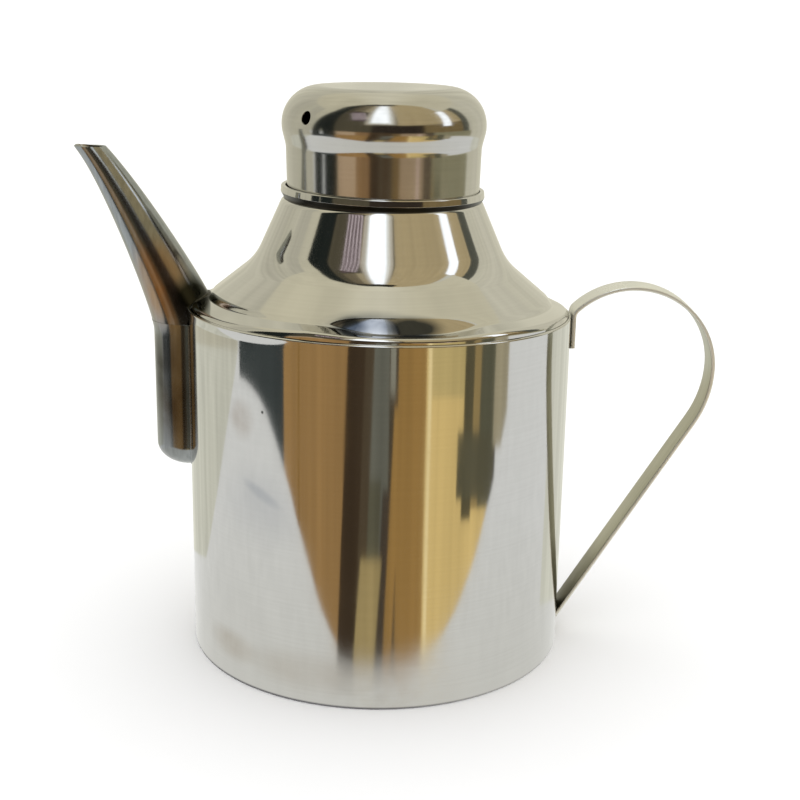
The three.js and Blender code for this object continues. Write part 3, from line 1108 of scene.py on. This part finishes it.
def glowing(name, code, strength, streak=0.12):
    """A glowing material with faint upright streaks. Only reflections look for it."""
    material, tree, place = new_material(name)
    tree.nodes.remove(tree.nodes["Principled BSDF"])
    streaks = noise(tree, scaled(tree, place, (1, 1, STREAK_SQUEEZE)), streak_width, 4.0)
    levels = [share * strength / STEEL_MIRRORS for share in (1 - streak, 1 + streak)]
    bright = ranged(tree, streaks, (0.3, 0.7), levels)
    glow = node(tree, "Emission", {"Color": linear(code), "Strength": bright})
    feed(tree.nodes["Material Output"], {"Surface": glow.outputs[0]})
    material.cycles.emission_sampling = "NONE"
    return material


def mirror_board(name, azimuths, elevations, code, layer, slant=0.0, strength=1.0, hung=0.0):
    """A curved glowing board. A higher layer stands nearer. Slant moves its lower edge around.

    A hung board is a strip of that many degrees along the ceiling line.
    """
    reach = ROOM_DISTANCE - LAYER_GAP * layer
    steps = max(2, math.ceil((azimuths[1] - azimuths[0]) / BOARD_STEP))
    points = []
    for k in range(steps + 1):
        azimuth = azimuths[0] + (azimuths[1] - azimuths[0]) * k / steps
        top = ceiling_line(azimuth)
        foot = top - hung if hung else elevations[0]
        for elevation, aside in ((foot, slant), (elevations[1], 0.0)):
            turn = math.radians(azimuth + aside)
            rise = math.tan(math.radians(min(max(elevation, ground_line(azimuth)), top)))
            points.append((reach * math.sin(turn), -reach * math.cos(turn), ROOM_HEIGHT + reach * rise))
    faces = [(2 * k, 2 * k + 2, 2 * k + 3, 2 * k + 1) for k in range(steps)]
    glow = glowing("room_" + name, code, strength)
    only_mirrored(stage_piece("room_" + name, points, faces, glow))


# %% Room's boards
# Each row: name, azimuths, elevations, colour, layer, then slant, strength and hung where set.
# Elevations of -40 and 90 reach past the ground and the ceiling, which cut them off.
ROOM = (
    ("left_card_low", (-180, -89), (-24, -13.5), "#B7B7AC", 0, -40.0),
    ("far_wall", (-70, 72), (-40, 90), "#4A4538", 0),
    ("dark_shelf", (-14, 45), (-4, 18), "#2C2620", 1),
    ("night_left", (-72, -56), (-40, 90), "#1C201E", 1),
    ("night_edge", (-72, -60), (-13, 45), "#1C201E", 2, -16.0),
    ("navy_left", (-88, -56), (-40, -11), "#363B3B", 2),
    ("tan_left", (-56, -17), (-40, -11), "#8C6E46", 2),
    ("tan_gap", (-47, -46), (-40, -11), "#75592F", 3),
    ("rose_left", (-54, -32), (-11, -2), "#A38D74", 2),
    ("rose_shade", (-32, -16), (-11, -2), "#7E6345", 2),
    ("grey_door", (-16, 6), (-40, -11), "#5E5E55", 2),
    ("dark_door", (-16, 6), (-11, -2), "#46392A", 2),
    ("brown_door", (-15, -5), (-40, -5), "#392E22", 3, -8.0),
    ("door_shade", (-5, 0), (-40, -5), "#483E30", 3, -8.0),
    ("door_low", (-9.5, 2), (-26, -19.5), "#504E40", 3, -2.0),
    ("door_edge", (6, 11), (-40, -5), "#453D31", 2),
    ("door_light", (6.5, 9.5), (-15.5, -11), "#7E7C70", 3),
    ("olive_foot", (-9.5, 3), (-40, -23.4), "#94835A", 4, -4.0),
    ("olive_edge", (3, 8), (-40, -20), "#403830", 3, -4.0),
    ("tan_wedge", (9, 14), (-40, -16), "#8D6E3F", 3, -5.0),
    ("tan_right", (11, 27), (-40, -11), "#8D6E3F", 2),
    ("pale_edge", (28, 30), (-40, -11), "#DCC896", 3),
    ("gold_right", (27, 70), (-40, -11), "#C4AB71", 2),
    ("gold_shade", (30, 50), (-15.5, -11), "#AD9B69", 3),
    ("cupboard_foot", (46.5, 69), (-20.5, -17.3), "#504D3D", 4),
    ("cupboard", (50, 56), (-21.5, -8), "#4D4836", 3),
    ("cupboard_gap", (56, 60.5), (-21, -8), "#83714C", 3),
    ("cupboard_side", (60.5, 70), (-21, -8), "#515041", 3),
    ("grey_edge", (70, 80), (-18, -8), "#928A73", 2),
    ("brown_right", (9, 18), (-11, -4), "#6A5739", 2),
    ("beige_door", (18, 46), (-11, -4), "#907D66", 2),
    ("stripe_pink", (38, 41), (-11, -5), "#B7A299", 4),
    ("stripe_dark", (46, 57), (-11, -5), "#4E4439", 4),
    ("olive_right", (57, 112), (-11, -2), "#7D7962", 2),
    ("beige_wall", (15, 100), (18, 90), "#A09170", 1),
    ("brown_shelf", (45, 100), (-2, 18), "#6E5F42", 1),
    ("beige_left", (-22, -13), (18, 90), "#857A68", 1),
    ("tan_high", (-30, -11), (54, 90), "#8F846A", 2),
    ("tan_high_dim", (-46, -30), (54, 90), "#655C4A", 2),
    ("plum_blind", (-47, -28), (28, 52), "#54484A", 3, 9.0),
    ("window_glow", (-17, 17), (20, 90), "#A8A294", 4, -4.0),
    ("window_frame", (-13, 13.5), (22, 90), "#CFCFC9", 5, -4.0),
    ("window", (-11, 10), (25, 90), "#F2F7FF", 6, -4.0, 1.2),
    ("window_right", (75, 86), (12, 45), "#F2F7FF", 5, -6.0, 1.2),
    ("window_right_high", (78, 87), (45, 66), "#B9B8AE", 5),
    ("shade_right", (97, 108), (-2, 60), "#4B4C44", 4),
    ("cornice", (-66, 38), (60, 90), "#24221C", 7, 0.0, 1.0, 5.0),
)
BLIND_BARS = 5
bar_gap = 3.7
bar_width = 1.4
for panel in ROOM:
    mirror_board(*panel)
for k in range(BLIND_BARS):
    start = -46 + bar_gap * k
    mirror_board(f"blind_{k}", (start, start + bar_width), (30 + k, 48 + k), "#C4B7BC", 5, 9.0)
print("mirrored boards:", len(ROOM) + BLIND_BARS)

# %% [markdown]
# ## Cards and ground of the mirrored room
#
# Beside and behind the can stands only pale beige card, a little darker on the left. Ten
# strips of one tone each are enough, because the tones are close. The ground is one large
# board below them, which turns paler with the distance.

# %% Cards and ground
CARD_STRIPS = 10
card_start = 108
card_end = 271
card_top = 60
right_foot = -12
left_foot = -13.5
right_shade = (0xB9, 0xB6, 0xA6)
left_shade = (0xA8, 0xA5, 0x96)
ground_drop = math.radians(29)
GROUND_SIZE = 16.0
for k in range(CARD_STRIPS):
    share = (k + 0.5) / CARD_STRIPS
    turns = [card_start + (card_end - card_start) * (k + side) / CARD_STRIPS for side in (0, 1)]
    shade = [round(a + (b - a) * share) for a, b in zip(right_shade, left_shade)]
    foot = right_foot if share < 0.5 else left_foot
    mirror_board(f"card_{k}", turns, (foot, card_top), "#%02X%02X%02X" % tuple(shade), 0)
mirror_board("right_card", (76, card_start), (right_foot, card_top), "#%02X%02X%02X" % right_shade, 0)
mirror_board("right_card_low", (122, 190), (-26, right_foot), "#BDBDB2", 0)

ground_near = "#BEBEBA"
ground_far = "#C5C6C6"
ground_glow = glowing("room_ground", ground_near, 1.0, 0.04)
tree = ground_glow.node_tree
place = node(tree, "TexCoord").outputs["Object"]
away = ranged(tree, length(tree, scaled(tree, place, (1, 1, 0))), (1.25, 2.2))
fade = blend(tree, away, linear(ground_near), linear(ground_far))
feed(tree.nodes["Emission"], {"Color": fade})
ground_level = ROOM_HEIGHT - ROOM_DISTANCE * math.tan(ground_drop)
only_mirrored(board("room_ground", GROUND_SIZE, ground_level, ground_glow))
print("ground of the room:", round(ground_level, 3), "m")
